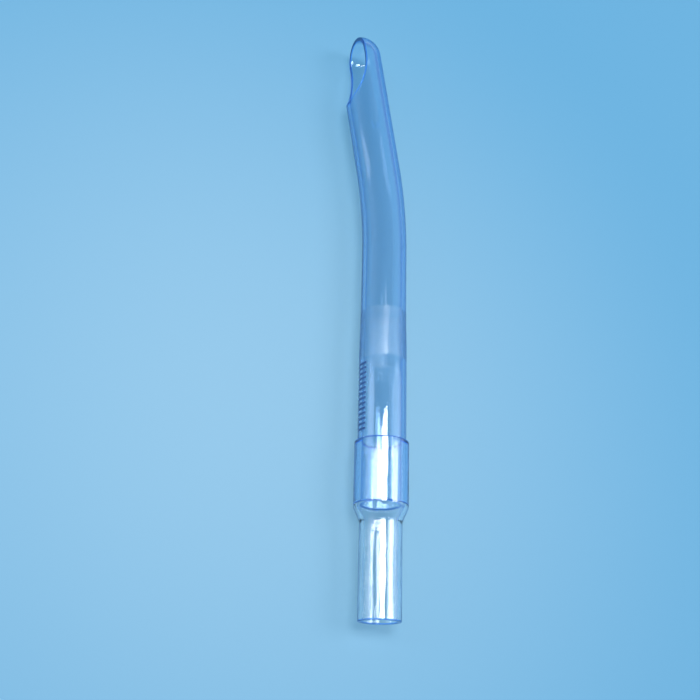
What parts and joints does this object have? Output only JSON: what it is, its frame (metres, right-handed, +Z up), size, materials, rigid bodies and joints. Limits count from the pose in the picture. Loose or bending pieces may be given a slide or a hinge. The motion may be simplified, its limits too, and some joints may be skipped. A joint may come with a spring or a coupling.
{
  "type": "rigid suction cannula tip",
  "caption": "Clear rigid suction cannula tip: a gently bent tube with a scooped round end, a matt band and printed bars, cemented into a stepped hose connector.",
  "frame": {"origin": "centre of the hose end's flat face, on the axis of the spigot", "axes": "+Y along the straight axis from the hose end towards the tip; the tube bends towards -X in the XY plane and the scoop opens towards -X; +Z is up as the part lies on a table with its bend flat"},
  "size_m": [0.018, 0.1579, 0.0134],
  "materials": {
    "clear_tube": "clear, polished, with one frosted matt band",
    "clear_connector": "clear, moulded, polished",
    "cement": "clear dried solvent cement with a faint blue edge",
    "blue_ink": "matt printed ink"
  },
  "bodies": {
    "root": {"curved_tube": "clear_tube", "hose_connector": "clear_connector", "cement_film": "cement", "size_marks": "blue_ink"}
  },
  "joints": []
}
